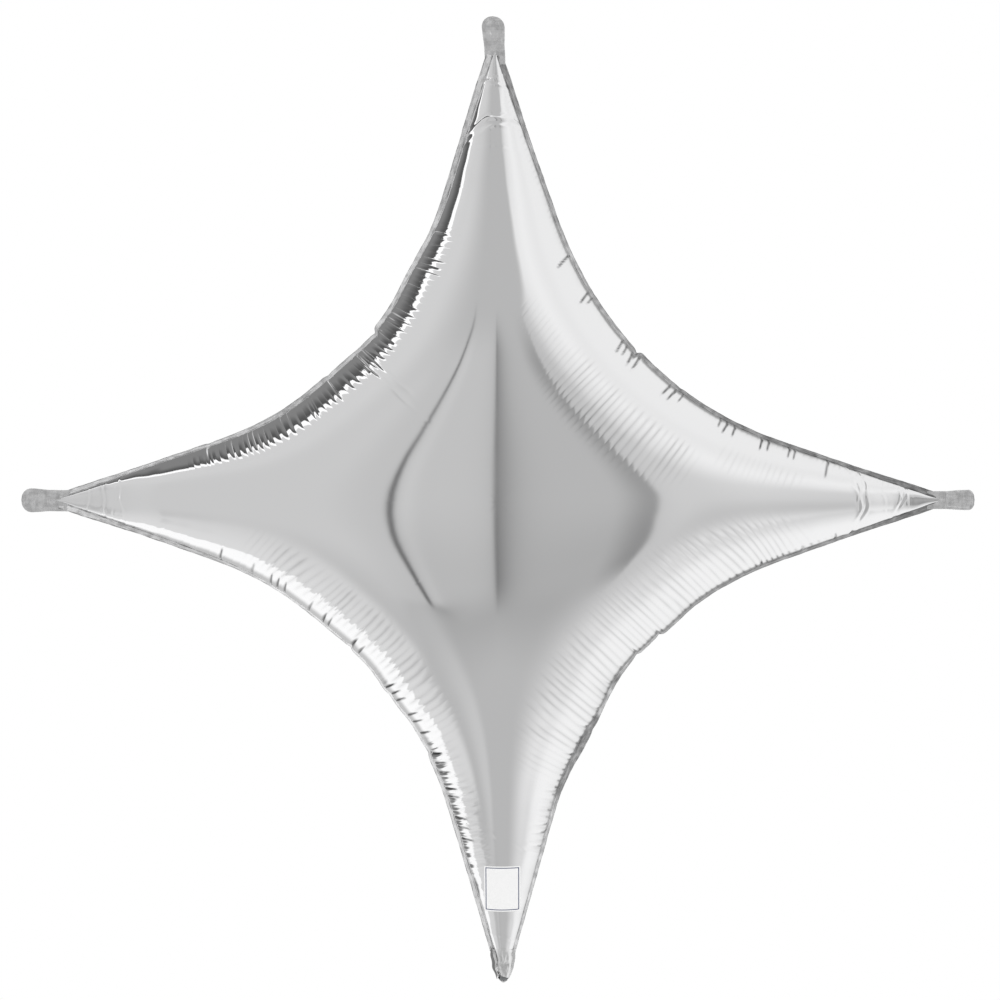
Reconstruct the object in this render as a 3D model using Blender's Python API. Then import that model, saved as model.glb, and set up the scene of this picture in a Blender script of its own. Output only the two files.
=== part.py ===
"""Four-pointed star foil balloon, inflated, about 1.14 m wide and 1.16 m tall.

Two dished film panels stand on the seal bands that run from point to point, three points
end in a sealed flat tab, and the lower point ends in the open tail with the filling valve in it.
Metres, +Z up. The front faces -Y, and the origin is the middle of the star on the seal plane.
"""

import math

import bmesh
import bpy
import numpy as np
from mathutils import Vector

# Seal plane and film
FILM_WALL = 0.0020
SEAL_THICKNESS = 0.0016
SEAT_GAP = 0.0003
PANEL_FOOT = SEAL_THICKNESS / 2 + SEAT_GAP
SEAL_UNDERLAP = 0.0030

# Each point of the star has two straight flanks, measured along and across the point from the
# middle of the star. The shoulder is where the flanks start to round into the notches.
SHOULDER_ALONG = 0.330
SHOULDER_BAND = 0.0752
SHOULDER_RIM = 0.0694
NOTCH_RADIUS = 0.432
SEAL_WIDTH = SHOULDER_BAND - SHOULDER_RIM

# Where the dished film of a point closes, how far its tab reaches, and where its band ends
SIDE_APEX = 0.530
SIDE_REACH = 0.572
TOP_APEX = 0.540
TOP_REACH = 0.583
TAIL_CUT = 0.528
TAIL_REACH = 0.577
TAIL_RIM_HALF = 0.0125
TAIL_BAND_HALF = 0.0165
TAIL_OVERRUN = 0.012
TAB_START_FROM_APEX = 0.015
TAB_ROOT_HALF = 0.0146

# Sealed tab: half widths at shares of its length, then the round end
TAB_WAIST_HALF = 0.0118
TAB_WAIST_SHARE = 0.42
TAB_PADDLE_HALF = 0.0134
TAB_PADDLE_SHARE = 0.76
TAB_END_SEGMENTS = 10
TAB_SIDE_SEGMENTS = 5

# Tail neck and the valve sleeve in it, as half widths and half depths of an oval
NECK_WALL = 0.0016
NECK_TOP_HALF = (0.0160, 0.0134)
NECK_MIDDLE_HALF = (0.0118, 0.0088)
NECK_MOUTH_HALF = (0.0100, 0.0064)
NECK_MIDDLE_SHARE = 0.62
SLEEVE_WALL = 0.0009
SLEEVE_GAP = 0.0004
SLEEVE_LENGTH = 0.066
SLEEVE_PROUD = 0.0012
OVAL_SIDES = 28

# Fineness of the dished panels
RIDGE_STATIONS = 17
SLOPE_STEPS = 7
END_CROWDING = 1.35

# How much lower than the membrane function the film stays in the middle of the star
MIDDLE_SAG = 0.15

FOIL = ((0.80, 0.80, 0.81), 0.12, 1.0)
SEAL_FOIL = ((0.62, 0.62, 0.63), 0.32, 1.0)
VALVE_FILM = ((0.86, 0.88, 0.88), 0.25, 0.0)

ARMS = ("right", "top", "left", "bottom")
APEX = {"right": SIDE_APEX, "left": SIDE_APEX, "top": TOP_APEX}
REACH = {"right": SIDE_REACH, "left": SIDE_REACH, "top": TOP_REACH}


def clear_scene():
    for old in list(bpy.data.objects):
        bpy.data.objects.remove(old)


def material(name, look):
    colour, roughness, metallic = look
    made = bpy.data.materials.new(name)
    made.use_nodes = True
    shader = made.node_tree.nodes["Principled BSDF"]
    shader.inputs["Base Color"].default_value = (*colour, 1.0)
    shader.inputs["Roughness"].default_value = roughness
    shader.inputs["Metallic"].default_value = metallic
    return made


def add_object(name, bm, finish):
    """Makes one named object of the bmesh, with outward faces and its material."""
    bmesh.ops.recalc_face_normals(bm, faces=bm.faces)
    mesh = bpy.data.meshes.new(name)
    bm.to_mesh(mesh)
    bm.free()
    mesh.materials.append(finish)
    mesh.shade_smooth()
    mesh.set_sharp_from_angle(angle=math.radians(40))
    made = bpy.data.objects.new(name, mesh)
    bpy.context.scene.collection.objects.link(made)
    return made


def arm_axis(arm):
    """Unit vector along a point of the star, as (x, z)."""
    angle = math.radians(90 * ARMS.index(arm))
    return np.array([round(math.cos(angle)), round(math.sin(angle))], float)


def flank(arm, shoulder, inset):
    """The flank of a point, as the (along, across) of its outer end and of its shoulder."""
    shoulder_end = np.array([SHOULDER_ALONG, shoulder - inset])
    if arm != "bottom":
        band = shoulder == SHOULDER_BAND
        tab_start = APEX[arm] - TAB_START_FROM_APEX
        tip = (tab_start, TAB_ROOT_HALF) if band else (APEX[arm] - 2.8 * inset, 0.0)
        return np.array(tip), shoulder_end
    half = TAIL_BAND_HALF if shoulder == SHOULDER_BAND else TAIL_RIM_HALF - inset
    tip = np.array([TAIL_CUT, half])
    slope = (shoulder_end - tip) / (shoulder_end - tip)[0]
    return tip + slope * TAIL_OVERRUN, shoulder_end


class Notch:
    """The seal line between two neighbouring points: two straight flanks and the round notch."""

    def __init__(self, first, second, shoulder, inset=0.0):
        self.axes = arm_axis(first), arm_axis(second)
        tips = []
        ways = []
        for arm, order in ((first, 1), (second, -1)):
            tip, shoulder_end = flank(arm, shoulder, inset)
            way = tip - shoulder_end
            tips.append(tip[::order])
            ways.append((way / np.hypot(*way))[::order])
        crossing = np.linalg.solve(np.array([ways[0], -ways[1]]).T, tips[1] - tips[0])
        corner = tips[0] + crossing[0] * ways[0]
        middle = ways[0] + ways[1]
        middle /= np.hypot(*middle)
        half_angle = math.acos(float(ways[0] @ middle))
        self.radius = NOTCH_RADIUS + SHOULDER_BAND - shoulder + inset
        self.centre = corner + middle * self.radius / math.sin(half_angle)
        run = self.radius / math.tan(half_angle)
        self.tips, self.ways, self.corner, self.run = tips, ways, corner, run

    def nearest(self, side, along):
        """The point of the seal line nearest to a place on the ridge of one of its two points."""
        ridge = np.zeros(2)
        ridge[side] = along
        way = self.ways[side]
        reach = float((ridge - self.corner) @ way)
        if reach > self.run:
            found = self.corner + reach * way
        else:
            outward = ridge - self.centre
            found = self.centre + outward * self.radius / np.hypot(*outward)
        return self.placed(found), self.placed(ridge)

    def placed(self, local):
        return local[0] * self.axes[0] + local[1] * self.axes[1]


def ridge_shares():
    """Places along a ridge from the middle of the star to its end, closer together at the end."""
    return 1 - (1 - np.linspace(0, 1, RIDGE_STATIONS)) ** END_CROWDING


class Sheet:
    """A flat star of quads, each row running square from the seal line to the nearest ridge.

    Every corner has two places: on the film's outer face, and on its inner face, whose own
    seal line lies further in by the film's thickness.
    """

    def __init__(self):
        self.places = {}
        self.outer = []
        self.inner = []
        self.faces = []
        slopes = np.linspace(0, math.pi / 2, SLOPE_STEPS + 1)
        for first, second in zip(ARMS, ARMS[1:] + ARMS[:1]):
            notches = [Notch(first, second, SHOULDER_RIM, inset) for inset in (0.0, FILM_WALL)]
            for side, arm in enumerate((first, second)):
                rows = []
                for share in ridge_shares():
                    ends = []
                    for notch, inset in zip(notches, (0.0, FILM_WALL)):
                        end = TAIL_CUT + TAIL_OVERRUN if arm == "bottom" else APEX[arm] - 2.8 * inset
                        ends.append(notch.nearest(side, end * share))
                    rows.append([self.corner(ends, 1 - math.cos(slope)) for slope in slopes])
                for near, far in zip(rows, rows[1:]):
                    for k in range(SLOPE_STEPS):
                        loop = (near[k], far[k], far[k + 1], near[k + 1])
                        self.faces.append(loop if side == 0 else loop[::-1])
        self.outer, self.inner = np.array(self.outer), np.array(self.inner)

    def corner(self, ends, share):
        """The index of the corner at this share of the way up both rows, made once."""
        outer, inner = [rim + (ridge - rim) * share for rim, ridge in ends]
        key = tuple(np.round(outer, 5) + 0.0)
        if key not in self.places:
            self.places[key] = len(self.outer)
            self.outer.append(outer)
            self.inner.append(inner)
        return self.places[key]

    def foot(self):
        """The edges that only one quad has, in the direction of that quad."""
        edges = set()
        for loop in self.faces:
            edges.update((a, b) for a, b in zip(loop, loop[1:] + loop[:1]) if a != b)
        return [(a, b) for a, b in edges if (b, a) not in edges]


def film_heights(sheet, points):
    """How far the gas lifts each corner off the seal plane.

    It is the root of twice the membrane function, whose curvature is -1 and which is zero on
    the seal line. That makes each slim point round in section, and the middle a dome, which the
    film holds a little lower.
    """
    stiffness = np.zeros((len(points), len(points)))
    push = np.zeros(len(points))
    for a, b, c, d in sheet.faces:
        for index in ((a, b, c), (a, c, d)):
            corners = points[list(index)]
            edges = corners[[2, 0, 1]] - corners[[1, 2, 0]]
            area = abs(edges[0][0] * edges[1][1] - edges[0][1] * edges[1][0]) / 2
            if area > 0:
                stiffness[np.ix_(index, index)] += edges @ edges.T / (4 * area)
                push[list(index)] += area / 3
    rim = {corner for edge in sheet.foot() for corner in edge}
    tail_end = -(TAIL_CUT + 0.4 * TAIL_OVERRUN)
    held = [k for k in rim if points[k][1] > tail_end or abs(points[k][0]) > 0.8 * TAIL_RIM_HALF]
    stiffness[held] = 0
    stiffness[held, held] = 1
    push[held] = 0
    lift = np.sqrt(2 * np.maximum(np.linalg.solve(stiffness, push), 0))
    return lift * (1 - MIDDLE_SAG * (lift / lift.max()) ** 2)


def panel(name, side, sheet, finish):
    """One film panel, lifted to the front where side is -1: both faces, joined around the foot."""
    bm = bmesh.new()
    skins = []
    for points in (sheet.outer, sheet.inner):
        heights = side * (PANEL_FOOT + film_heights(sheet, points))
        skins.append([bm.verts.new((x, y, z)) for (x, z), y in zip(points, heights)])
    film, lining = skins
    for skin, step in ((film, 1), (lining, -1)):
        for loop in sheet.faces:
            bm.faces.new(dict.fromkeys(skin[k] for k in loop[::step]))
    for a, b in sheet.foot():
        bm.faces.new((film[b], film[a], lining[a], lining[b]))
    made = add_object(name, bm, finish)
    cut = made.modifiers.new("tail end", "BOOLEAN")
    cut.operation = "DIFFERENCE"
    cut.object = bpy.data.objects["tail_cutter"]
    return made


def tail_cutter():
    """A block that ends the panels square at the top of the tail neck."""
    bm = bmesh.new()
    bmesh.ops.create_cube(bm, size=0.1)
    depth = Vector((0, 0, -TAIL_CUT - 0.05))
    bmesh.ops.translate(bm, verts=bm.verts, vec=depth)
    made = add_object("tail_cutter", bm, material("cutter", FOIL))
    made.hide_render = True
    made.display_type = "WIRE"


def seal_band(name, first, second, finish):
    """The flat heat seal between two points, with the panels' feet standing on its inner edge."""
    outer = Notch(first, second, SHOULDER_BAND)
    inner = Notch(first, second, SHOULDER_RIM)
    bm = bmesh.new()
    rows = []
    for side, arm in ((0, first), (1, second)):
        end = TAIL_CUT if arm == "bottom" else APEX[arm] - TAB_START_FROM_APEX
        along_axis = inner.axes[side]
        across_axis = inner.axes[1 - side]
        arm_rows = []
        for along in end * ridge_shares():
            rim, ridge = inner.nearest(side, along)
            edge, _ = outer.nearest(side, along)
            if rim @ along_axis > end - SEAT_GAP:
                continue
            under = rim + (ridge - rim) / np.hypot(*(ridge - rim)) * SEAL_UNDERLAP
            arm_rows.append((edge, under))
        half = TAIL_BAND_HALF if arm == "bottom" else TAB_ROOT_HALF
        rim_half = float(inner.nearest(side, end)[0] @ across_axis)
        last = [
            end * along_axis + max(across, SEAT_GAP) * across_axis
            for across in (half, rim_half - SEAL_UNDERLAP)
        ]
        arm_rows.append(tuple(last))
        rows = rows + arm_rows[1:] if side else arm_rows[::-1]
    pairs = [[bm.verts.new((x, -SEAL_THICKNESS / 2, z)) for x, z in row] for row in rows]
    for (a, b), (c, d) in zip(pairs, pairs[1:]):
        bm.faces.new((a, b, d, c))
    thicken(bm)
    return add_object(name, bm, finish)


def thicken(bm):
    """Gives a flat outline at the front of the seal plane the thickness of the seal."""
    raised = bmesh.ops.extrude_face_region(bm, geom=bm.faces[:])
    verts = [item for item in raised["geom"] if isinstance(item, bmesh.types.BMVert)]
    bmesh.ops.translate(bm, verts=verts, vec=Vector((0, SEAL_THICKNESS, 0)))


def tab_outline(length):
    """Half of a tab's outline as (along, across) from its root: waist, paddle and round end."""
    places = ((0.0, TAB_ROOT_HALF), (TAB_WAIST_SHARE, TAB_WAIST_HALF), (TAB_PADDLE_SHARE, TAB_PADDLE_HALF))
    outline = []
    for (start, wide), (end, next_wide) in zip(places, places[1:]):
        for step in range(TAB_SIDE_SEGMENTS):
            share = step / TAB_SIDE_SEGMENTS
            ease = (1 - math.cos(math.pi * share)) / 2
            outline.append((length * (start + (end - start) * share), wide + (next_wide - wide) * ease))
    end_depth = length * (1 - TAB_PADDLE_SHARE)
    for step in range(TAB_END_SEGMENTS):
        angle = math.pi / 2 * step / TAB_END_SEGMENTS
        outline.append(
            (length - end_depth * (1 - math.sin(angle)), TAB_PADDLE_HALF * math.cos(angle))
        )
    return outline + [(length, 0.0)]


def end_tab(arm, finish):
    """The sealed flat tab that ends a point of the star."""
    start = APEX[arm] - TAB_START_FROM_APEX + SEAT_GAP
    along_axis = arm_axis(arm)
    across_axis = np.array([-along_axis[1], along_axis[0]])
    half = tab_outline(REACH[arm] - start)
    outline = half + [(along, -across) for along, across in half[-2::-1]]
    bm = bmesh.new()
    corners = []
    for along, across in outline:
        x, z = (start + along) * along_axis + across * across_axis
        corners.append(bm.verts.new((x, -SEAL_THICKNESS / 2, z)))
    bm.faces.new(corners)
    thicken(bm)
    return add_object("tab_" + arm, bm, finish)


def oval_tube(name, stations, wall, finish):
    """An open tube around Z, from (height, half width, half depth) stations, with a wall inwards."""
    bm = bmesh.new()
    rings = []
    for shrink, run in ((0.0, stations), (wall, stations[::-1])):
        for height, wide, deep in run:
            ring = []
            for side in range(OVAL_SIDES):
                angle = 2 * math.pi * side / OVAL_SIDES
                x, y = (wide - shrink) * math.cos(angle), (deep - shrink) * math.sin(angle)
                ring.append(bm.verts.new((x, y, height)))
            rings.append(ring)
    for near, far in zip(rings, rings[1:] + rings[:1]):
        for k in range(OVAL_SIDES):
            after = (k + 1) % OVAL_SIDES
            bm.faces.new((near[k], near[after], far[after], far[k]))
    return add_object(name, bm, finish)


def tail(seal_finish, valve_finish):
    """The open tail below the panels, and the valve sleeve whose mouth shows in it."""
    top = -(TAIL_CUT + SEAT_GAP)
    mouth = -TAIL_REACH + SLEEVE_PROUD
    middle = top + (mouth - top) * NECK_MIDDLE_SHARE
    oval_tube(
        "tail_neck",
        [(top, *NECK_TOP_HALF), (middle, *NECK_MIDDLE_HALF), (mouth, *NECK_MOUTH_HALF)],
        NECK_WALL,
        seal_finish,
    )
    sleeve_half = [half - NECK_WALL - SLEEVE_GAP for half in NECK_MOUTH_HALF]
    oval_tube(
        "valve_sleeve",
        [(-TAIL_REACH + SLEEVE_LENGTH, *sleeve_half), (-TAIL_REACH, *sleeve_half)],
        SLEEVE_WALL,
        valve_finish,
    )


def main():
    clear_scene()
    foil = material("foil", FOIL)
    seal = material("seal_foil", SEAL_FOIL)
    valve = material("valve_film", VALVE_FILM)
    tail_cutter()
    sheet = Sheet()
    panel("front_panel", -1, sheet, foil)
    panel("rear_panel", 1, sheet, foil)
    seal_band("seal_upper_right", "right", "top", seal)
    seal_band("seal_upper_left", "top", "left", seal)
    seal_band("seal_lower_left", "left", "bottom", seal)
    seal_band("seal_lower_right", "bottom", "right", seal)
    for arm in APEX:
        end_tab(arm, seal)
    tail(seal, valve)


main()
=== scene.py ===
"""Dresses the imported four-pointed star balloon in its foil film, heat seals, end tabs and tail.

Metres, +Z up, front towards -Y, and the middle of the star on the seal plane at the origin.
"""

import math

import bmesh
import bpy
import numpy as np
from bpy.props import FloatProperty, FloatVectorProperty
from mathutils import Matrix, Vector, noise


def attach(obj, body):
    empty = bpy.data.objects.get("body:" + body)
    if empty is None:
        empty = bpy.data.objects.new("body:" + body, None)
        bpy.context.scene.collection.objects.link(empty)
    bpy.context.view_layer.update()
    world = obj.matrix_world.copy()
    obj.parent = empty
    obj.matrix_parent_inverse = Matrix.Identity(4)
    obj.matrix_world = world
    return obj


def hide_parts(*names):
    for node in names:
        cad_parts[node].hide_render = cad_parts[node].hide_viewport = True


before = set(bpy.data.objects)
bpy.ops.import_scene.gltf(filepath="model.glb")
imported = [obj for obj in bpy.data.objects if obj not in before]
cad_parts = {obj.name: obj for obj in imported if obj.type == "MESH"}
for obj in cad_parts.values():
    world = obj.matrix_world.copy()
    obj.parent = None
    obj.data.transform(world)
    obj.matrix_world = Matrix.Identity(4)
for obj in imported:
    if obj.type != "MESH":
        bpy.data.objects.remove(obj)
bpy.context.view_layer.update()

bl_info = {
    "name": "Foil star balloon",
    "version": (1, 0, 0),
    "blender": (4, 5, 0),
    "location": "View3D > Sidebar > Star Balloon",
    "description": "Film, seals, tabs and tail of an inflated four-pointed foil balloon",
    "category": "Add Mesh",
}

POINTS = ("right", "top", "left", "bottom")

# The four lengths of seal, each between two neighbouring points
UPPER_RIGHT, UPPER_LEFT, LOWER_LEFT, LOWER_RIGHT = zip(POINTS, POINTS[1:] + POINTS[:1])
SEALS = {
    UPPER_RIGHT: "upper_right",
    UPPER_LEFT: "upper_left",
    LOWER_LEFT: "lower_left",
    LOWER_RIGHT: "lower_right",
}

# Folds of the film along each seal. A place is in mm along the seal from the middle of its notch,
# below 0 towards the first point. Then depth, half width, reach up the film and lean, in mm.
FOLDS = {
    UPPER_RIGHT: (
        (100, 1.1, 1.4, 20, -0.4), (92, 0.9, 1.2, 13, -0.35), (150, 1, 1.4, 22, -0.5),
        (30, 1.2, 1.4, 26, -0.3), (22, 1, 1.3, 18, -0.3), (11, 1.4, 1.5, 26, -0.25),
        (2, 1.2, 1.4, 30, -0.2), (-48, 1.1, 1.3, 20, 0.1), (-57, 1.4, 1.3, 30, 0.15),
        (-67, 0.9, 1.1, 15, 0.1), (-120, 0.9, 1.2, 14, 0), (-129, 1.1, 1.2, 18, 0.1),
        (-139, 1, 1.2, 16, 0), (-174, 1, 1.2, 17, 0), (-183, 0.9, 1.2, 15, 0), (-209, 0.8, 1.1, 14, 0),
        (-216, 0.8, 1.1, 14, 0), (-258, 0.7, 1.4, 22, 0),
    ),
    UPPER_LEFT: (
        (207, 0.9, 1.4, 40, 0), (196, 0.4, 1.3, 22, 0), (168, 0.4, 1.4, 20, 0), (112, 0.8, 1.3, 46, 0),
        (103, 0.7, 1.2, 36, 0), (71, 0.9, 1.3, 50, 0), (40, 1, 1.3, 58, 0), (32, 0.6, 1.2, 30, 0),
        (2, 0.6, 1.3, 56, 0), (-6, 1.9, 1.3, 128, 0), (-15, 1.2, 1.3, 112, 0), (-38, 0.9, 1.3, 26, 0),
        (-46, 0.9, 1.3, 28, 0), (-64, 1, 1.3, 62, 0), (-71, 0.9, 1.2, 54, 0), (-94, 0.4, 1.4, 30, 0),
        (-138, 0.3, 1.4, 24, 0), (-181, 0.7, 1.3, 40, 0), (-190, 0.4, 1.2, 22, 0), (-240, 0.3, 1.4, 24, 0),
    ),
    LOWER_LEFT: (
        (-191, 0.8, 1.3, 22, 0), (-150, 0.5, 1.6, 26, 0), (-124, 0.9, 1.2, 24, -0.15),
        (-115, 1.1, 1.2, 26, -0.15), (-105, 0.9, 1.2, 22, -0.15), (-70, 0.6, 1.6, 40, 0),
        (-48, 1, 1.3, 34, -0.1), (-40, 0.8, 1.2, 24, -0.1), (-4, 1, 1.6, 60, 0), (8, 0.8, 1.5, 44, 0),
        (60, 1.2, 1.3, 30, 0.15), (70, 1, 1.2, 24, 0.15), (80, 1.1, 1.2, 26, 0.15),
        (102, 1, 1.3, 26, 0.15), (112, 0.9, 1.2, 22, 0.15), (128, 1.1, 1.2, 24, 0.15),
        (156, 1.4, 1.5, 34, 0.15), (168, 1.1, 1.3, 24, 0.15), (180, 0.9, 1.2, 18, 0.15),
        (200, 1, 1.3, 22, 0.25), (210, 0.8, 1.2, 18, 0.25), (236, 1, 1.4, 24, 0.35),
        (248, 0.8, 1.2, 20, 0.35), (263, 0.9, 1.4, 22, 0.35),
    ),
    LOWER_RIGHT: (
        (-274, 0.6, 1.3, 18, 0), (-256, 0.9, 1.4, 24, -0.2), (-246, 0.7, 1.2, 18, -0.2),
        (-205, 0.6, 1.5, 22, 0), (-157, 1, 1.6, 26, 0), (-119, 1.2, 1.7, 30, 0), (-93, 1.1, 1.6, 28, 0),
        (-60, 0.6, 1.6, 30, 0), (-37, 0.9, 1.5, 30, 0), (-12, 1.3, 1.6, 36, 0), (22, 1.4, 1.5, 24, 0),
        (28, 0.9, 1.2, 18, 0), (62, 0.5, 1.6, 30, 0), (88, 0.7, 1.5, 26, 0), (130, 0.4, 1.6, 24, 0),
        (172, 0.9, 1.5, 24, 0), (224, 0.7, 1.5, 22, 0), (267, 0.9, 1.6, 24, 0),
    ),
}

# Where a seal is kinked. Place, dip inwards, half width, step between its two sides and the
# distance over which that step dies away, in mm.
KINKS = {
    UPPER_RIGHT: ((7, 3, 3.2, -1.6, 26), (-60, 0.8, 4, 0, 20), (96, 0.6, 4, 0, 20)),
    UPPER_LEFT: ((-42, 2.2, 4, -2.6, 40), (37, 1.2, 4, 0.5, 20), (206, 0.8, 4, 0, 20)),
    LOWER_LEFT: ((-2, 1.6, 4, 0.8, 26), (70, 1.2, 4.5, -0.8, 30), (157, 1.6, 4.5, 0.9, 26)),
    LOWER_RIGHT: ((24, 2.2, 3.4, 1.4, 22), (-12, 1.4, 3.6, 1.2, 24), (-120, 1.4, 5, 0, 30)),
}

# How far a seal bows outwards of its plain curve: place, height and half width, in mm
BOWS = {
    UPPER_RIGHT: ((185, 2.2, 120),),
    UPPER_LEFT: ((-128, 6, 52), (-330, 2.4, 110), (30, 4, 60)),
    LOWER_LEFT: ((-40, 3.2, 60), (76, 4, 34)),
    LOWER_RIGHT: ((-128, 9, 62), (40, 3.2, 34)),
}

# Width of the sealed border that faces the view, in mm: on the first point, at the notch and on the
# second point. The border turns back from the view where this is less than its true width.
BORDER_SHOWS = {
    UPPER_RIGHT: ((-420, 5), (-200, 4.8), (0, 5), (200, 4.8), (420, 5.4)),
    UPPER_LEFT: (
        (-420, 6.4), (-230, 6.4), (-190, 5), (0, 5), (100, 5.8), (180, 4.2), (330, 3.8), (420, 4.6),
    ),
    LOWER_LEFT: ((-420, 6), (-240, 5.4), (-140, 3.2), (60, 3), (200, 4.2), (420, 5.4)),
    LOWER_RIGHT: (
        (-420, 3.6), (-240, 4.2), (-165, 7.2), (-138, 8.6), (-104, 5), (-82, 3.2), (-52, 5.4), (-20, 3.2),
        (30, 2.8), (150, 3.6), (420, 5),
    ),
}

# Patches of fine ripples square to each seal: height and how dark the painted shade in their
# grooves is, middle and half length of the patch along the seal, and how far up the film it starts
# and ends, in mm
RIPPLES = {
    UPPER_RIGHT: (
        (0.08, 0.06, 0, 380, 0, 7), (0.06, 0.05, 72, 50, 62, 96), (0.25, 0.19, -32, 84, 54, 118),
        (0.08, 0.06, -186, 54, 30, 60),
    ),
    UPPER_LEFT: ((0.6, 0, 20, 205, 0, 34),),
    LOWER_LEFT: (
        (0.05, 0, -20, 380, 0, 15), (0.28, 0.17, -10, 148, 16, 54), (0.14, 0.06, 210, 70, 4, 36),
    ),
    LOWER_RIGHT: ((0.34, 0.8, 0, 250, 0, 6), (0.24, 0.15, 20, 205, 0, 78)),
}

# Spacing of those ripples, and how much they drift back along the seal as they run up the film, as
# pairs of place and drift
RIPPLE_RUN = {
    UPPER_RIGHT: (7.6, ((-200, -0.14), (-50, -0.05), (20, 0), (70, 0.27), (150, 0.5))),
    UPPER_LEFT: (7.8, ((0, 0.04), (100, 0))),
    LOWER_LEFT: (9, ((-150, -0.38), (-60, -0.3), (0, -0.05), (100, 0.08))),
    LOWER_RIGHT: (8.2, ((-150, -0.25), (-40, -0.1), (30, 0.12), (100, 0.35), (200, 0.4))),
}

# Patches of crumpled film beside a seal: height, middle and half length, start and end, in mm
CRUMPLES = {
    UPPER_RIGHT: ((0.25, -300, 60, 0, 14),),
    UPPER_LEFT: ((0.2, -40, 40, 0, 20),),
    LOWER_LEFT: ((1.7, 225, 85, 0, 30), (0.25, 0, 90, 0, 30)),
    LOWER_RIGHT: ((0.5, -235, 60, 0, 20),),
}

# How far up the film the painted shade in the pinched ends of the folds starts and reaches at most,
# in mm, and how dark that painted shade is
PINCH_SHADES = {
    UPPER_RIGHT: (0, 24, 1),
    UPPER_LEFT: (0, 1, 0),
    LOWER_LEFT: (2, 17, 1.1),
    LOWER_RIGHT: (0, 7, 0.5),
}

# Where a point's film is less full towards its tip: from, to and the share of height that is left
SLACK = {"right": (0.436, 0.5, 0.55), "top": (0.45, 0.52, 0.8), "left": (0.398, 0.472, 0.62)}

# How far the end of each point leans across itself, to the left of its own way out, in mm
LEANS = {"right": 0, "top": 1.2, "left": -3.8, "bottom": 3.4}

# Creases across a point, at mm from the middle of the star: height, half width, slant and bow
CREASES = {
    "top": (
        (458, 1.7, 2, -0.1, -13), (453, -1, 1.8, -0.14, -12), (447, 0.9, 1.7, -0.22, -10),
        (508, 1.5, 1.8, -0.49, 0), (500, 0.9, 1.6, 0.42, 0), (422, 0.3, 1.6, 0.1, -6),
    ),
    "right": (
        (431, 2, 1.9, 0, -9), (437, -1.5, 1.7, 0.06, -8), (427, 0.8, 1.5, -0.14, -8),
        (479, 1.5, 1.7, 0.28, -4), (484, -0.9, 1.6, 0.4, 0), (490, 0.6, 1.5, -0.3, 0),
        (460, 0.4, 1.6, -0.24, 0),
    ),
    "left": (
        (448, 1.1, 1.6, -0.13, 0), (470, 0.8, 1.5, -0.05, -3), (489, 0.6, 1.4, 0.1, 0),
        (457, 0.2, 1.3, 0.12, 0),
    ),
    "bottom": ((476, 0.3, 1.4, 0.55, 0), (398, 0.3, 1.8, 0.5, 0), (520, 0.4, 1.6, 0.3, 0)),
}

# Brightness of each welded border beside the foil, on its first point and on its second, which is a
# painted reflection: lighter or darker as each tilted side would mirror the room. Then how dark its
# outlines are and how much of it still mirrors
BORDER_LOOKS = {
    UPPER_RIGHT: (0.46, 0.66, 0.55, 1),
    UPPER_LEFT: (1.05, 0.92, 0.62, 0.6),
    LOWER_LEFT: (0.95, 1.1, 0.72, 0.45),
    LOWER_RIGHT: (0.85, 0.46, 0.4, 1),
}

# What each point of the film's meshes knows about its ripples and folds, with the painted shade in
# their grooves and pinched ends, for the foil's material
VALUES = ("phase", "ripple", "groove", "crumple", "pinch_shade")

# Sealed end tabs: reach from the middle of the star, height of the pressed ring against its usual
# one, sideways lean, width against the usual one and share of the length that is rounded off
TABS = {
    "right": (0.572, 0, 0, 0.90, 0.14),
    "left": (0.572, 0, -0.03, 1.07, 0.24),
    "top": (0.583, 1, 0.085, 1.03, 0.26),
}

# The film's meshes: columns along each half of a seal, rows up the film, and more rows at the ridge
FRONT_GRID = (310, 36)
REAR_GRID = (210, 30)
RIDGE_ROWS = (0.9880, 0.9950, 0.9985)

# Rows across a welded border, in metres out from the film's edge at its usual width. The last row
# is moved to the border's own outer edge.
BORDER_ROWS = np.array([-0.0026, -0.0012, 0, 0.0010, 0.0020, 0.0028, 0.0038, 0.0048, 1])
BORDER_COLUMNS = 270
USUAL_WIDTH = 0.0056

# Where the borders end beside the tail, how far they stop short of a point's end under its tab,
# and how far a tab starts inside the end of the film
BORDER_LOWER_END = 0.534
BORDER_UNDER_TAB = 0.004
TAB_OVERLAP = 0.015

TAB_THICKNESS = 0.0009
FILM_THICKNESS = 0.0003

# Painted shade: colour of the film where a fold's valley mirrors itself
FOLD_SHADE_COLOUR = (0.035, 0.035, 0.037, 1.0)

# One unit of a UV map, in metres along the seal and up the film
UV_LENGTH = 4.0
UV_REACH = 0.4

# The bare label place low on the front: its sides, its lower and upper end, and where its line runs
LABEL_SIDES = (-0.0185, 0.0249)
LABEL_ENDS = (-0.4880, -0.4317)
LABEL_LINE = (0.0016, 0.0026)

DEGREES = 180 / math.pi


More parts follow.
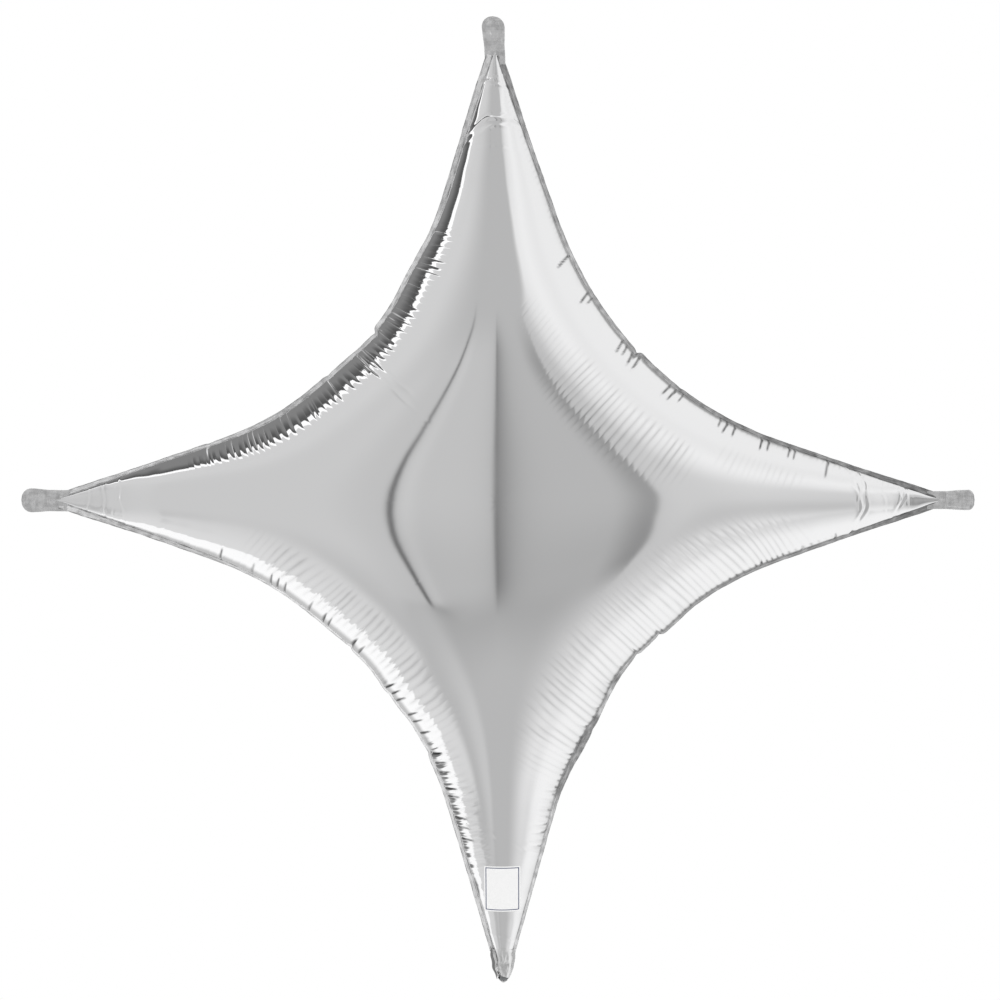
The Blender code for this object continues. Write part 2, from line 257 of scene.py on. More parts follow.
class BalloonShape(bpy.types.PropertyGroup):
    """Sizes of the star on its seal plane and of the gas-filled film."""

    shoulder_along: FloatProperty(
        name="Shoulder", description="Where a point's flanks start", default=0.330, unit="LENGTH"
    )
    shoulder_half: FloatProperty(
        name="Shoulder half width", description="Half width of the film there",
        default=0.0694, unit="LENGTH",
    )
    notch_radius: FloatProperty(
        name="Notch radius", description="Radius of the film's edge in a notch",
        default=0.4378, unit="LENGTH",
    )
    side_apex: FloatProperty(
        name="Side apex", description="Where the side points' film closes", default=0.530, unit="LENGTH"
    )
    top_apex: FloatProperty(
        name="Top apex", description="Where the top point's film closes", default=0.540, unit="LENGTH"
    )
    tail_apex: FloatProperty(
        name="Tail apex", description="Where the lower flanks would meet", default=0.5715, unit="LENGTH"
    )
    tail_cut: FloatProperty(
        name="Tail cut", description="Where the lower film runs into the tail",
        default=0.533, unit="LENGTH",
    )
    middle_sag: FloatProperty(
        name="Middle sag", description="How much lower the film stays in the middle",
        default=0.15, subtype="FACTOR",
    )
    foot: FloatProperty(
        name="Foot", description="Height of the film's edge off the seal plane",
        default=0.0005, unit="LENGTH",
    )
    seal_width: FloatProperty(
        name="Seal width", description="Width of the heat seal outside the film",
        default=0.0056, unit="LENGTH",
    )
    seal_thickness: FloatProperty(
        name="Seal thickness", description="Thickness of the sealed edge", default=0.0007, unit="LENGTH"
    )


class BalloonFinish(bpy.types.PropertyGroup):
    """Colours and gloss of the foil, the seal and the bare label place."""

    foil: FloatVectorProperty(
        name="Foil", description="Colour of the mirror film", default=(0.93, 0.93, 0.935), subtype="COLOR"
    )
    seal: FloatVectorProperty(
        name="Seal", description="Colour of the welded foil", default=(0.92, 0.92, 0.925), subtype="COLOR"
    )
    ink: FloatVectorProperty(
        name="Label place", description="Colour of the bare printed place",
        default=(1.0, 1.0, 1.0), subtype="COLOR",
    )
    line: FloatVectorProperty(
        name="Label line", description="Colour of the plain line round the label place",
        default=(0.02, 0.04, 0.13), subtype="COLOR",
    )
    # The valve film's colour is painted shade: dark, for the dark open mouth of the tail
    valve_film_shade: FloatVectorProperty(
        name="Valve film", description="Colour of the valve's clear film",
        default=(0.20, 0.205, 0.21), subtype="COLOR",
    )
    foil_roughness: FloatProperty(
        name="Foil roughness", description="Roughness of the mirror film", default=0.07, subtype="FACTOR"
    )


class BalloonStudio(bpy.types.PropertyGroup):
    """The camera and the pale floor."""

    camera_distance: FloatProperty(
        name="Camera distance", description="From the seal plane to the camera",
        default=3.3333, unit="LENGTH",
    )
    camera_aside: FloatProperty(
        name="Camera aside", description="Camera's place right of and above the middle",
        default=0.0024, unit="LENGTH",
    )
    lens: FloatProperty(name="Lens", description="Focal length in mm", default=100.0)
    roll: FloatProperty(
        name="Roll", description="Camera's turn about its view",
        default=math.radians(0.25), subtype="ANGLE",
    )
    floor_drop: FloatProperty(
        name="Floor drop", description="Floor below the middle of the star", default=1.30, unit="LENGTH"
    )
    floor_radius: FloatProperty(
        name="Floor radius", description="Radius of the round floor", default=3.2, unit="LENGTH"
    )


def way_out(point):
    """Unit vector along a point of the star, as (x, z)."""
    angle = math.radians(90 * POINTS.index(point))
    return np.array([round(math.cos(angle)), round(math.sin(angle))], float)


def eased(value, low, high):
    """0 below the low value and 1 above the high one, with a smooth change between them."""
    share = np.clip((value - low) / (high - low), 0, 1)
    return share * share * (3 - 2 * share)


def swung(place, length, turn=0.0):
    """A sine with this wave length along a seal."""
    return np.sin(place * 2 * math.pi / length + turn)


class SealLine:
    """The film's edge between two neighbouring points: two straight flanks and a round notch."""

    def __init__(self, first, second, shape, apex):
        self.points = (first, second)
        self.axes = np.array([way_out(first), way_out(second)])
        self.apex = (apex[first], apex[second])
        self.ways = []
        tips = []
        for point, order in ((first, 1), (second, -1)):
            tip = np.array([apex[point], 0.0])
            way = tip - np.array([shape.shoulder_along, shape.shoulder_half])
            tips.append(tip[::order])
            self.ways.append((way / np.hypot(*way))[::order])
        crossing = np.linalg.solve(np.array([self.ways[0], -self.ways[1]]).T, tips[1] - tips[0])
        self.corner = tips[0] + crossing[0] * self.ways[0]
        middle = self.ways[0] + self.ways[1]
        middle /= np.hypot(*middle)
        half_angle = math.acos(float(self.ways[0] @ middle))
        self.radius = shape.notch_radius
        self.centre = self.corner + middle * self.radius / math.sin(half_angle)
        self.run = self.radius / math.tan(half_angle)
        self.home = -self.centre / np.hypot(*self.centre)

    def turned(self, way):
        """Signed distance along the round notch from its middle to this way from its centre."""
        across = self.home[0] * way[..., 1] - self.home[1] * way[..., 0]
        return -self.radius * np.arctan2(across, way @ self.home)

    def nearest(self, side, along):
        """For places along the ridge of a point: place on the seal, seal point, way in and distance."""
        along = np.asarray(along, float)
        ridge = np.zeros((len(along), 2))
        ridge[:, side] = along
        way = self.ways[side]
        reach = (ridge - self.corner) @ way
        on_flank = reach > self.run
        outward = ridge - self.centre
        outward /= np.hypot(*outward.T)[:, None]
        square = np.array([way[1], -way[0]]) * (-1 if side else 1)
        point = np.where(
            on_flank[:, None], self.corner + reach[:, None] * way, self.centre + self.radius * outward
        )
        inward = np.where(on_flank[:, None], square, outward)
        touch = abs(float(self.turned(square)))
        place = np.where(on_flank, touch + reach - self.run, np.abs(self.turned(outward)))
        place = place * (1 if side else -1)
        distance = np.einsum("ij,ij->i", ridge - point, inward)
        return place, point @ self.axes, inward @ self.axes, np.maximum(distance, 0)


class GasDome:
    """Height of the gas-filled film over its flat pattern.

    The film stands at the root of twice the membrane function, which is zero on the seal and
    has a curvature of -1. Its harmonic part comes from charges just outside the seal.
    """

    def __init__(self, lines, sag):
        self.sag = sag
        edge, charges = [], []
        for line in lines:
            for side in (0, 1):
                for count, store, out in ((130, edge, 0.0), (44, charges, 0.025)):
                    along = line.apex[side] * (np.arange(count) + 0.5) / count
                    _, point, inward, _ = line.nearest(side, along)
                    store.append(point - inward * out)
            charges.append(way_out(line.points[0])[None] * (line.apex[0] + 0.03))
        edge = np.concatenate(edge)
        self.charges = np.concatenate(charges)
        squared = (edge**2).sum(1) / 4
        self.weights = np.linalg.lstsq(self.terms(edge), squared, rcond=1e-13)[0]
        self.top = math.sqrt(2 * float(self.function(np.zeros((1, 2)))[0]))

    def terms(self, points):
        """What each charge adds at each point, and a last constant term."""
        apart = points[:, None] - self.charges[None]
        return np.concatenate([np.log(np.hypot(apart[..., 0], apart[..., 1])), np.ones((len(points), 1))], 1)

    def function(self, points):
        found = [self.terms(part) @ self.weights for part in np.array_split(points, 1 + len(points) // 8000)]
        return np.concatenate(found) - (points**2).sum(1) / 4

    def heights(self, plan, share):
        """Heights over a grid of rows from the seal, where share is 0, to the ridge, where it is 1."""
        value = self.function(plan.reshape(-1, 2)).reshape(plan.shape[:2])
        value = value - value[:, :1] * (1 - share) ** 2
        lift = np.sqrt(2 * np.maximum(value, 0))
        return lift * (1 - self.sag * (lift / self.top) ** 2)


class Star:
    """The seal lines, the dome over them, and the stations where rows of the meshes run."""

    def __init__(self, shape):
        self.shape = shape
        self.apex = {
            "right": shape.side_apex,
            "left": shape.side_apex,
            "top": shape.top_apex,
            "bottom": shape.tail_apex,
        }
        self.lines = {pair: SealLine(*pair, shape, self.apex) for pair in SEALS}
        self.dome = GasDome(self.lines.values(), shape.middle_sag)

    def end(self, point):
        return self.shape.tail_cut if point == "bottom" else self.apex[point]

    def stations(self, point, count):
        """Places along a ridge, even along the seals and closer together at their folds."""
        along = np.linspace(0, self.end(point), 3000)
        crowd = np.zeros(len(along) - 1)
        for pair, line in self.lines.items():
            if point in pair:
                place = line.nearest(pair.index(point), along)[0]
                density = np.ones(len(along))
                for fold in FOLDS[pair]:
                    density += 4.5 * np.exp(-(((place - fold[0] / 1000) / 0.0024) ** 2))
                for kink in KINKS[pair]:
                    density += 1.5 * np.exp(-(((place - kink[0] / 1000) / 0.0060) ** 2))
                for crease in CREASES[point]:
                    density += 1.5 * np.exp(-(((along - crease[0] / 1000) / 0.0060) ** 2))
                crowd += np.abs(np.diff(place)) * (density[1:] + density[:-1])
        total = np.concatenate([[0], np.cumsum(crowd)])
        return np.interp(np.linspace(0, total[-1], count + 1), total, along)

    def edge(self, pair, count):
        """All stations of one seal from the first point's end to the second's, as arrays."""
        line = self.lines[pair]
        found = []
        for side in (0, 1):
            along = self.stations(pair[side], count)
            row = line.nearest(side, along)
            ridge = along[:, None] * line.axes[side]
            part = [*row, ridge, along]
            found.append([item[::-1] for item in part] if side == 0 else [item[1:] for item in part])
        return [np.concatenate(items) for items in zip(*found)]


def bowed(pair, place):
    """How far a seal bows outwards of its plain curve."""
    out = 0.00006 * swung(place, 0.031, 1.3)
    for middle, height, half in BOWS[pair]:
        out = out + height / 1000 * np.exp(-(((place * 1000 - middle) / half) ** 2))
    return out


def kinked(pair, place):
    """How far a seal stands outwards at its kinks, below 0 where it dips in."""
    out = np.zeros_like(place)
    for middle, dip, half, step, reach in KINKS[pair]:
        off = place * 1000 - middle
        out -= dip / 1000 * np.exp(-((np.abs(off) / half) ** 1.5))
        out += step / 1000 * np.tanh(off / (0.6 * half)) * np.exp(-np.abs(off) / reach)
    return out


def border_shows(pair, place):
    """Width of the border as the view shows it."""
    places, widths = np.array(BORDER_SHOWS[pair]).T / 1000
    return np.interp(place, places, widths)


def edge_shift(pair, place, shape):
    """How far the film's edge lies outwards of the plain curve, without its kinks."""
    return bowed(pair, place) + shape.seal_width - border_shows(pair, place)


def patch(place, reach, middle, half, start, end):
    """1 on a patch of film, fading over its edges. The lengths are in mm."""
    off = np.abs(place * 1000 - middle)
    shown = 1 - eased(off, 0.72 * half, 1.12 * half)
    if start > 0:
        shown = shown * eased(reach * 1000, start - 7, start + 6)
    soft = 0.32 * (end - start)
    return shown * (1 - eased(reach * 1000, end - soft, end + 0.5 * soft))


def ripple_values(pair, place, reach, share):
    """Phase and height of the fine ripples, how dark the painted shade in their grooves is, and crumpling in
    metres.
    """
    spacing, drifts = RIPPLE_RUN[pair]
    run = place + reach * np.interp(place * 1000, *np.array(drifts).T)
    turn = POINTS.index(pair[0]) * 1.9
    phase = run * 1000 / spacing + 0.28 * np.sin(place * 71 + turn) + 0.22 * np.sin(place * 37 + 9 * reach)
    height = np.zeros_like(reach)
    groove = np.zeros_like(reach)
    # How dark the grooves look is painted shade, which the foil's material lays on them
    for tall, dark, *where in RIPPLES[pair]:
        shown = patch(place, reach, *where)
        height = np.maximum(height, tall / 1000 * shown)
        groove = np.maximum(groove, dark * shown)
    crumple = np.zeros_like(reach)
    for tall, *where in CRUMPLES[pair]:
        crumple = np.maximum(crumple, tall / 1000 * patch(place, reach, *where))
    fade = 1 - eased(share, 0.45, 0.90)
    return phase, height * fade, groove * fade, crumple * fade


def wave(pair, place):
    """How far the seal wanders in front of and behind its plane, along Y."""
    turn = POINTS.index(pair[0]) * 1.7
    out = 0.00050 * swung(place, 0.047, turn)
    return out + 0.00035 * swung(place, 0.0263, 2.1 * turn)


def kink_wave(pair, place):
    """How far the kinks throw the seal in front of and behind its plane, along Y."""
    turn = POINTS.index(pair[0]) * 1.7
    out = np.zeros_like(place)
    for middle, dip, half, step, _ in KINKS[pair]:
        off = (place * 1000 - middle) / (1.6 * half)
        out += 0.0007 * dip * np.sin(1.8 * off + turn) * np.exp(-(off**2))
    return out


def leaned(places):
    """Moves the ends of the points a little across themselves, on (x, y, z) places."""
    moved = np.array(places, float)
    for point, lean in LEANS.items():
        out = way_out(point)
        along = places[..., 0] * out[0] + places[..., 2] * out[1]
        across = np.array([-out[1], out[0]])
        shift = lean / 1000 * eased(along, 0.12, 0.45)
        moved[..., 0] += shift * across[0]
        moved[..., 2] += shift * across[1]
    return moved


def fold_relief(pair, folds, place, reach):
    """Depth of the folds over the film, and how much painted shade stands in for the mirrored view that
    their valleys swallow.
    """
    relief = np.zeros_like(reach)
    painted_pinch_shade = np.zeros_like(reach)
    first, longest, dark = PINCH_SHADES[pair]
    for middle, depth, half, length, lean in folds:
        fade = np.clip(1 - reach / (length / 1000), 0, 1)
        width = half / 1000 * (1 + 0.7 * reach / (length / 1000))
        bent = lean * reach + 0.012 * reach * np.sin(middle + reach * 260)
        off = (place - middle / 1000 - bent) / width
        valley = np.exp(-(np.abs(off) ** 1.5)) - 0.42 * np.exp(-((off / 2.4) ** 2))
        relief -= 1.5 * depth / 1000 * fade**1.9 * valley
        # Each fold's pinched valley gets a streak of painted shade
        close = 1 - reach * 1000 / min(longest, 1.1 * length)
        taper = 0.35 + 0.65 * np.sqrt(np.clip(close, 0, 1))
        streak = np.exp(-((np.abs(off - 0.2) / (0.95 * taper)) ** 2.4)) * eased(close, 0.0, 0.3)
        if first:
            streak = streak * eased(reach * 1000, first - 1, first + 1)
        painted_pinch_shade = np.maximum(painted_pinch_shade, dark * min(depth, 1.0) * streak)
    return relief, painted_pinch_shade


def slow_relief(pair, place, reach, phase):
    """Wide low waves that run square to the seal and die away up the film."""
    turn = POINTS.index(pair[0]) * 2.3 + phase
    relief = np.zeros_like(reach)
    for length, height, die in ((0.0371, 0.00001, 0.030), (0.0613, 0.00002, 0.060)):
        near = reach / die
        relief += height * swung(place, length, turn) * near * np.exp(1 - near)
        turn *= 1.61
    return relief


def crease_relief(point, along, across, phase):
    """Sharp crooked creases that run across a point of the star, each a groove beside a ridge."""
    relief = np.zeros_like(along)
    for middle, height, half, slant, bow in CREASES[point]:
        bent = 0.0013 * np.sin(across * 210 + middle + phase) + bow * across**2
        off = (along - middle / 1000 - slant * across - bent) / (half / 1000)
        sharp = np.exp(-(np.abs(off) ** 1.3)) - 0.55 * np.exp(-((off - 1.9) ** 2))
        relief += height / 1000 * sharp * (0.7 + 0.3 * np.sin(across * 170 + middle))
    return relief


def film_grid(star, pair, count, steps, face):
    """Places, UVs and end rows of one quarter of a film panel, rows from the seal to the ridge."""
    place, seal, inward, distance, ridge, along = star.edge(pair, count)
    angle = np.linspace(0, math.pi / 2, steps + 1)
    share = np.sort(np.append(1 - np.cos(angle), RIDGE_ROWS))
    flat = seal[:, None] + inward[:, None] * (distance[:, None] * share)[..., None]
    height = star.dome.heights(flat, share[None])
    for point in pair:
        if point in SLACK:
            start, end, left = SLACK[point]
            height = height * (1 - (1 - left) * eased(flat @ way_out(point), start, end))
    reach = distance[:, None] * share
    fading = (1 - share) * np.exp(-((reach / 0.055) ** 2))
    shift = edge_shift(pair, place, star.shape)[:, None] * fading
    shift = shift + kinked(pair, place)[:, None] * np.exp(-reach / 0.006)
    plan = flat - inward[:, None] * shift[..., None]
    base = np.stack([plan[..., 0], height * face, plan[..., 1]], -1)
    row_way = np.gradient(base, axis=1)
    seal_way = np.gradient(base, axis=0)
    normal = np.cross(seal_way, row_way)
    length = np.linalg.norm(normal, axis=-1, keepdims=True)
    outward = np.array([0.0, face, 0.0])
    normal = np.where(length > 1e-12, normal / np.maximum(length, 1e-12), outward)
    normal *= math.copysign(1, float((normal @ outward).sum()))
    phase = 0.0 if face < 0 else 1.9
    where = np.broadcast_to(place[:, None], reach.shape)
    folds = FOLDS[pair]
    if face > 0:
        folds = [(m + 7 * (-1) ** k, 0.8 * d, h, r, -lean) for k, (m, d, h, r, lean) in enumerate(folds)]
    relief, painted_pinch_shade = fold_relief(pair, folds, where, reach)
    relief += slow_relief(pair, where, reach, phase)
    relief *= 1 - eased(share, 0.72, 0.97)[None]
    near_end = eased(distance, 0.002, 0.010)[:, None]
    relief *= near_end
    for side, point in enumerate(pair):
        out = way_out(point)
        across = plan @ np.array([-out[1], out[0]])
        crease = crease_relief(point, plan @ out, across, phase) * near_end
        relief += 0.6 * np.where((place > 0) == bool(side), crease.T, 0).T
    near = np.exp(-reach / 0.008)
    wander = wave(pair, place)[:, None] * (1 - share) ** 2 * np.exp(-reach / 0.020)
    lift = star.shape.foot * face + wander
    lift = lift + kink_wave(pair, place)[:, None] * near
    places = base + normal * relief[..., None]
    places[..., 1] += lift
    return leaned(places), where, reach, *ripple_values(pair, where, reach, share[None]), painted_pinch_shade


def stood(x, y, z):
    """Places from their coordinates, with the points leant over."""
    return leaned(np.stack(np.broadcast_arrays(x, y, z), -1))


def uv_sheet(first, second):
    """UVs of a grid, from its values down both sides."""
    return np.stack(np.meshgrid(first, second, indexing="ij"), -1)


def crinkled(*places):
    """Smooth noise at places that are given as arrays of x, y and z."""
    return np.vectorize(lambda *place: noise.noise(Vector(place)))(*places)


def new_piece(name, mesh, finish, slot, *nodes):
    """Links a finished mesh as a piece that rides on the balloon and stands for its CAD nodes."""
    mesh.materials.append(finish)
    mesh.shade_smooth()
    piece = bpy.data.objects.new(name, mesh)
    bpy.context.scene.collection.objects.link(piece)
    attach(piece, "root")
    if nodes:
        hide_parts(*nodes)
    return piece


def walled(piece, thickness, offset):
    """Gives a sheet of film its thickness."""
    wall = piece.modifiers.new("Film thickness", "SOLIDIFY")
    wall.thickness = thickness
    wall.offset = offset


def grid_mesh(name, patches, merge, flip=False):
    """One mesh from patches of places, each a (columns, rows, 3) array with (columns, rows, 2) UVs.

    A patch of film holds one more array for each name in VALUES.
    """
    bm = bmesh.new()
    layer = bm.loops.layers.uv.new("UVMap")
    layers = [bm.verts.layers.float.new(value) for value in VALUES[: len(patches[0]) - 2]]
    for places, uvs, *values in patches:
        columns, rows = places.shape[0] - 1, places.shape[1] - 1
        made = bmesh.ops.create_grid(bm, x_segments=columns, y_segments=rows, size=0.5)["verts"]
        flat_uv = {}
        for vert in made:
            i = round((vert.co.x + 0.5) * columns)
            j = round((vert.co.y + 0.5) * rows)
            vert.co = places[i, j]
            flat_uv[vert] = uvs[i, j]
            for stored, value in zip(layers, values):
                vert[stored] = value[i, j]
        for vert, uv in flat_uv.items():
            for loop in vert.link_loops:
                loop[layer].uv = uv
    bmesh.ops.remove_doubles(bm, verts=bm.verts, dist=merge)
    if flip:
        bmesh.ops.reverse_faces(bm, faces=bm.faces)
    mesh = bpy.data.meshes.new(name)
    bm.to_mesh(mesh)
    bm.free()
    return mesh


class BALLOON_OT_film(bpy.types.Operator):
    """Makes the front and rear film panels with their folds"""

    bl_idname = "balloon.film"
    bl_label = "Film Panels"

    def execute(self, context):
        star = Star(context.scene.balloon_shape)
        finish = foil_material(context.scene.balloon_finish)
        for side, face, (count, steps) in (("front", -1, FRONT_GRID), ("rear", 1, REAR_GRID)):
            patches = []
            for number, pair in enumerate(star.lines):
                places, where, reach, *values = film_grid(star, pair, count, steps, face)
                uvs = np.stack([(number + 0.5 + where) / UV_LENGTH, reach / UV_REACH], -1)
                patches.append((places, uvs, *values))
            mesh = grid_mesh("film_" + side, patches, 0.00004, flip=face > 0)
            new_piece("film_" + side, mesh, finish, "foil", side + "_panel")
        return {"FINISHED"}


class BALLOON_OT_seals(bpy.types.Operator):
    """Makes the four heat-sealed borders between the points"""

    bl_idname = "balloon.seals"
    bl_label = "Heat Seals"

    def execute(self, context):
        shape = context.scene.balloon_shape
        star = Star(shape)
        for number, (pair, name) in enumerate(SEALS.items()):
            place, seal, inward, distance, ridge, along = star.edge(pair, BORDER_COLUMNS)
            lower = (np.abs(ridge[:, 1]) > np.abs(ridge[:, 0])) & (ridge[:, 1] < 0)
            width = border_shows(pair, place) + np.where(lower, 0, 0.0020) * eased(along, 0.40, 0.515)
            width = width + 0.00007 * swung(place, 0.0137) + 0.00012 * swung(place, 0.0411)
            offsets = BORDER_ROWS[None] * np.ones((len(place), 1))
            offsets = np.where(offsets > 0, offsets / USUAL_WIDTH * width[:, None], offsets)
            offsets[:, -1] = width
            offsets = np.maximum(offsets, -distance[:, None] * 0.98)
            ends = np.where(place > 0, star.end(pair[1]), star.end(pair[0])) - BORDER_UNDER_TAB
            keep = along <= np.where(lower, BORDER_LOWER_END, ends)
            moved = seal - inward * (edge_shift(pair, place, shape) + kinked(pair, place))[:, None]
            plan = moved[:, None] - inward[:, None] * offsets[..., None]
            flare = np.clip(offsets / width[:, None], 0, 1)
            back = np.sqrt(np.maximum(shape.seal_width**2 - border_shows(pair, place) ** 2, 0))
            y = (wave(pair, place) + kink_wave(pair, place))[:, None] + flare * back[:, None]
            y = y + flare * 0.0004 * swung(place, 0.0291, number)[:, None]
            y = y + flare * 0.00012 * swung(place, 0.0078)[:, None]
            y = y + 0.00012 * np.exp(-(((offsets - 0.0016) / 0.0005) ** 2))
            places = stood(plan[..., 0], y, plan[..., 1])[keep]
            middle = number + 0.5
            run = np.broadcast_to((place[:, None] + middle) / UV_LENGTH, offsets.shape)
            uvs = np.stack([run, flare * 0.28 + 0.3], -1)[keep]
            mesh = grid_mesh("border_" + name, [(places, uvs)], 0.00002)
            looks = context.scene.balloon_finish
            finish = seal_material(looks, "border_" + name, 0.00012, middle, *BORDER_LOOKS[pair])
            piece = new_piece("border_" + name, mesh, finish, "seal_foil", "seal_" + name)
            walled(piece, shape.seal_thickness, 0.0)
        return {"FINISHED"}


class BALLOON_OT_tabs(bpy.types.Operator):
    """Makes the crinkled sealed tabs that end the top and side points"""

    bl_idname = "balloon.tabs"
    bl_label = "End Tabs"

    def execute(self, context):
        star = Star(context.scene.balloon_shape)
        looks = context.scene.balloon_finish
        finish = seal_material(looks, "welded_tab", 0.00045, 0.0, 1.02, 1.02, 0.30, 1.0)
        u = np.linspace(0, 1, 61)[:, None]
        v = np.linspace(-1, 1, 33)[None]
        usual_half = np.interp(u, (0, 0.2, 0.42, 0.60, 0.78), (0.0120, 0.0119, 0.0119, 0.0128, 0.0134))
        for point, (reach, ring, lean, wide, blunt) in TABS.items():
            start = star.apex[point] - TAB_OVERLAP
            length = reach - start
            end = np.clip((u - 1 + blunt) / blunt, 0, 1)
            half = wide * usual_half * np.sqrt(np.maximum(1 - end**2.4, 0))
            along = start + length * u * np.ones_like(v)
            side = half * v
            local = along - start
            number = POINTS.index(point)
            lengthwise = crinkled(side / 0.0030, local / 0.016, 3.7 + number)
            crumple = crinkled(side / 0.0055, local / 0.0055, 9.1 + number)
            rough = 0.15 + 0.85 * eased(u, 0.16, 0.34)
            y = rough * (0.00065 * lengthwise * (1.15 - 0.6 * u) + 0.0006 * crumple)
            apart = np.hypot(local - length * 0.74, side)
            y -= ring * 0.0005 * np.exp(-(((apart - 0.0078) / 0.0011) ** 2))
            y += 0.0007 * (1 - eased(u, 0.12, 0.28))
            if point == "right":
                to_end = np.minimum(local - 0.023, length - 0.004 - local)
                inset = np.minimum(to_end, half * 0.80 - np.abs(side))
                y -= 0.0008 * np.exp(-((inset / 0.0008) ** 2))
            side = side + lean * np.maximum(local - 0.006, 0) ** 1.15
            out = way_out(point)
            across = np.array([-out[1], out[0]])
            plan = along[..., None] * out + side[..., None] * across
            places = stood(plan[..., 0], y, plan[..., 1])
            uvs = np.stack([local / 0.07, side / 0.3 + 0.1], -1)
            mesh = grid_mesh("end_tab_" + point, [(places, uvs)], 0.00005)
            piece = new_piece("end_tab_" + point, mesh, finish, "seal_foil", "tab_" + point)
            walled(piece, TAB_THICKNESS, 0.0)
        return {"FINISHED"}


def film_end(star):
    """Places round the cut lower end of the film, and which of them is the welded fin to its right.

    The first and the last place are the fin to its left.
    """
    front, rear = [
        [
            film_grid(star, LOWER_LEFT, 4, steps, face)[0][-1],
            film_grid(star, LOWER_RIGHT, 4, steps, face)[0][0],
        ]
        for face, steps in ((-1, FRONT_GRID[1]), (1, REAR_GRID[1]))
    ]
    fins = []
    for side, pair, way in ((0, LOWER_LEFT, -1), (1, LOWER_RIGHT, 1)):
        width = border_shows(pair, -0.42 * way)
        fins.append((front[side][0] + rear[side][0]) / 2 + width * np.array([0.961 * way, 0, -0.276]))
    front_half = [fins[0], *front[0], *front[1][-2::-1]]
    rear_half = [fins[1], *rear[1], *rear[0][-2::-1]]
    return np.array([*front_half, *rear_half, fins[0]]), len(front_half)


class BALLOON_OT_tail(bpy.types.Operator):
    """Makes the crumpled open tail, its rolled edge and the valve film in its mouth"""

    bl_idname = "balloon.tail"
    bl_label = "Tail and Valve"

    def execute(self, context):
        self.make_tail(Star(context.scene.balloon_shape))
        self.make_rolled_edge()
        self.make_lining(context.scene.balloon_finish)
        return {"FINISHED"}

    def make_tail(self, star):
        start, right_fin = film_end(star)
        middle = (start[:, 0].max() + start[:, 0].min()) / 2
        u = np.linspace(0, 1, 67)
        fin = np.zeros(len(start), bool)
        fin[[0, right_fin, -1]] = True
        film_half = np.abs(start[~fin, 0] - middle).max()
        share = (start[:, 0] - middle) / film_half
        front = (start[:, 1] < 0) & ~fin
        mouth = np.where(front, -0.5690 - 0.0020 * share, -0.5770 + 0.0050 * np.minimum(share**2, 1.1))
        down = (0, 0.10, 0.32, 0.65, 0.87, 1)
        narrow = np.stack([np.interp(u, down, (1.0, 0.93, 0.87, 0.72, 0.55, 0.44))] * len(start))
        left_spread = np.interp(u, (0, 0.12, 0.3, 1), (1.0, 0.62, 0.35, 0.25))
        right_spread = np.interp(u, (0, 0.3, 0.65, 1), (1.0, 0.95, 0.80, 0.35))
        for at, kept in ((0, left_spread), (-1, left_spread), (right_fin, right_spread)):
            narrow[at] = (narrow[at] + (abs(share[at]) - 1) * kept) / abs(share[at])
        x = middle + (start[:, :1] - middle) * narrow
        y = start[:, 1:2] * np.interp(u, down, (1.0, 0.86, 0.62, 0.40, 0.27, 0.20))[None]
        z = start[:, 2:] + (mouth[:, None] - start[:, 2:]) * u[None]
        grows = eased(u, 0.0, 0.40)
        x += 0.0008 * grows[None]
        out = np.where(front, -1.0, 1.0)[:, None]
        out[fin] = 0.0
        fold = crinkled(x / 0.0040, out * 3, z / 0.017)
        small = crinkled(x / 0.0030, out * 3 + 5, z / 0.0060)
        push = (0.0021 * fold + 0.0009 * small) * grows[None]
        y += push * out * (1.05 - np.abs(share))[:, None]
        ridge = np.exp(-(((x - middle + 0.0056) / 0.0011) ** 2)) * eased(u, 0.25, 0.45)[None]
        y -= 0.0013 * ridge * front[:, None]
        x[-1], y[-1], z[-1] = x[0], y[0], z[0]
        uvs = uv_sheet(np.linspace(0, 1, len(start)), u)
        mesh = grid_mesh("tail_film", [(np.stack([x, y, z], -1), uvs)], 0.00003)
        tail = new_piece("tail_film", mesh, tail_material("crumpled_foil", 0.90), "seal_foil", "tail_neck")
        walled(tail, FILM_THICKNESS, -1.0)

    def make_rolled_edge(self):
        run = np.linspace(0, 1, 49)[None]
        ring = np.linspace(0, 2 * math.pi, 17)[:, None]
        thick = 0.0023 * np.sin(math.pi * np.clip(run, 0.03, 0.97)) ** 0.6
        x = np.interp(run, (0, 0.3, 0.7, 1.0), (-0.0148, -0.0128, -0.0104, -0.0066))
        x = x + 0.0004 * np.sin(run * 17)
        y = -0.0006 - 0.0022 * np.sin(math.pi * run)
        z = -0.5330 - 0.0390 * run
        places = stood(x + thick * np.cos(ring) * 0.8, y + thick * np.sin(ring), z)
        mesh = grid_mesh("rolled_edge", [(places, uv_sheet(ring / 7, run))], 0.00003, flip=True)
        # Painted shade: the rolled edge's foil is coloured far darker than the tail's foil, for the shade
        # inside the roll
        new_piece("rolled_edge", mesh, tail_material("shaded_rolled_foil", 0.34), "seal_foil")

    def make_lining(self, looks):
        turn = np.linspace(0, 2 * math.pi, 73)[:, None]
        down = np.linspace(0, 1, 25)[None]
        x = np.interp(down, (0, 1), (0.0052, 0.0044)) * np.cos(turn) + 0.0008
        y = (0.0012 - 0.0004 * down) * np.sin(turn) + 0.0004 * np.sin(x * 900 + 2 * down)
        places = stood(x, y, -0.548 - 0.0262 * down)
        mesh = grid_mesh("valve_lining", [(places, uv_sheet(turn / 7, down))], 0.00003, flip=True)
        sleeve = new_piece("valve_lining", mesh, lining_material(looks), "valve_film", "valve_sleeve")
        walled(sleeve, FILM_THICKNESS, -1.0)


